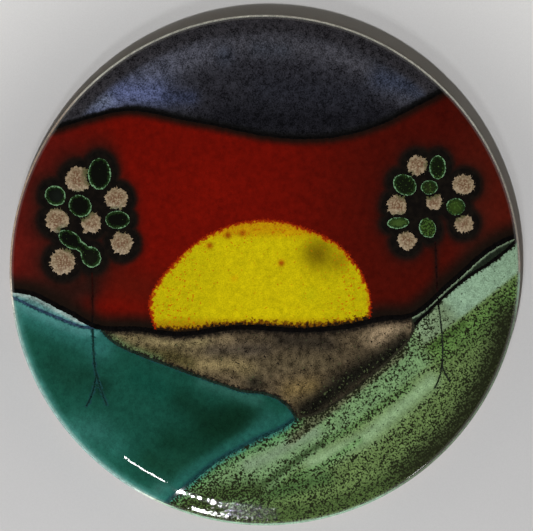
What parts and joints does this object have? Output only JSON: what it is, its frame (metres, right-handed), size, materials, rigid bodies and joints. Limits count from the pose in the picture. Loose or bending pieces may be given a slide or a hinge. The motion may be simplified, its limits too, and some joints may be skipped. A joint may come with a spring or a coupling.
{
  "type": "ceramic wall plaque",
  "caption": "Round glazed ceramic wall plaque with a sunset landscape in separate glaze pools; stands on a foot ring pierced for a hanging wire.",
  "frame": {"origin": "centre of the foot ring's resting plane", "axes": "+Z out of the decorated face, +Y to the top of the picture, +X to the picture's right"},
  "size_m": [0.25, 0.25, 0.0153],
  "materials": {
    "fired_clay": "matt, unglazed, fine grog",
    "cream_glaze": "gloss",
    "slate_blue_glaze": "gloss, finely mottled",
    "red_glaze": "gloss, darkening to black at its edges",
    "yellow_glaze": "gloss, grainy edge with orange flecks",
    "brown_glaze": "gloss, mottled",
    "teal_glaze": "gloss, thinner and lighter at its edges",
    "green_glaze": "gloss, streaked with black speckle",
    "pale_blue_glaze": "gloss",
    "resist_line": "satin",
    "black_glaze": "gloss",
    "blossom_glaze": "gloss, radial crystals",
    "leaf_glaze": "gloss, pale rim"
  },
  "bodies": {
    "root": {"clay_body": "fired_clay", "foot_ring": "fired_clay", "ground_glaze": "cream_glaze", "sky_band_glaze": "slate_blue_glaze", "red_sky_glaze": "red_glaze", "sun_glaze": "yellow_glaze", "hill_glaze": "brown_glaze", "teal_field_glaze": "teal_glaze", "green_field_glaze": "green_glaze", "teal_sliver_glaze": "pale_blue_glaze", "green_sliver_glaze": "green_glaze", "sky_line": "resist_line", "horizon_line": "resist_line", "left_sliver_line": "resist_line", "right_sliver_line": "resist_line", "left_shore_line": "resist_line", "hill_shore_line": "resist_line", "valley_line": "resist_line", "left_trunk": "resist_line", "right_trunk": "resist_line", "left_crown_ground": "black_glaze", "right_crown_ground": "black_glaze", "left_blossoms": "blossom_glaze", "left_leaves": "leaf_glaze", "right_blossoms": "blossom_glaze", "right_leaves": "leaf_glaze"}
  },
  "joints": []
}
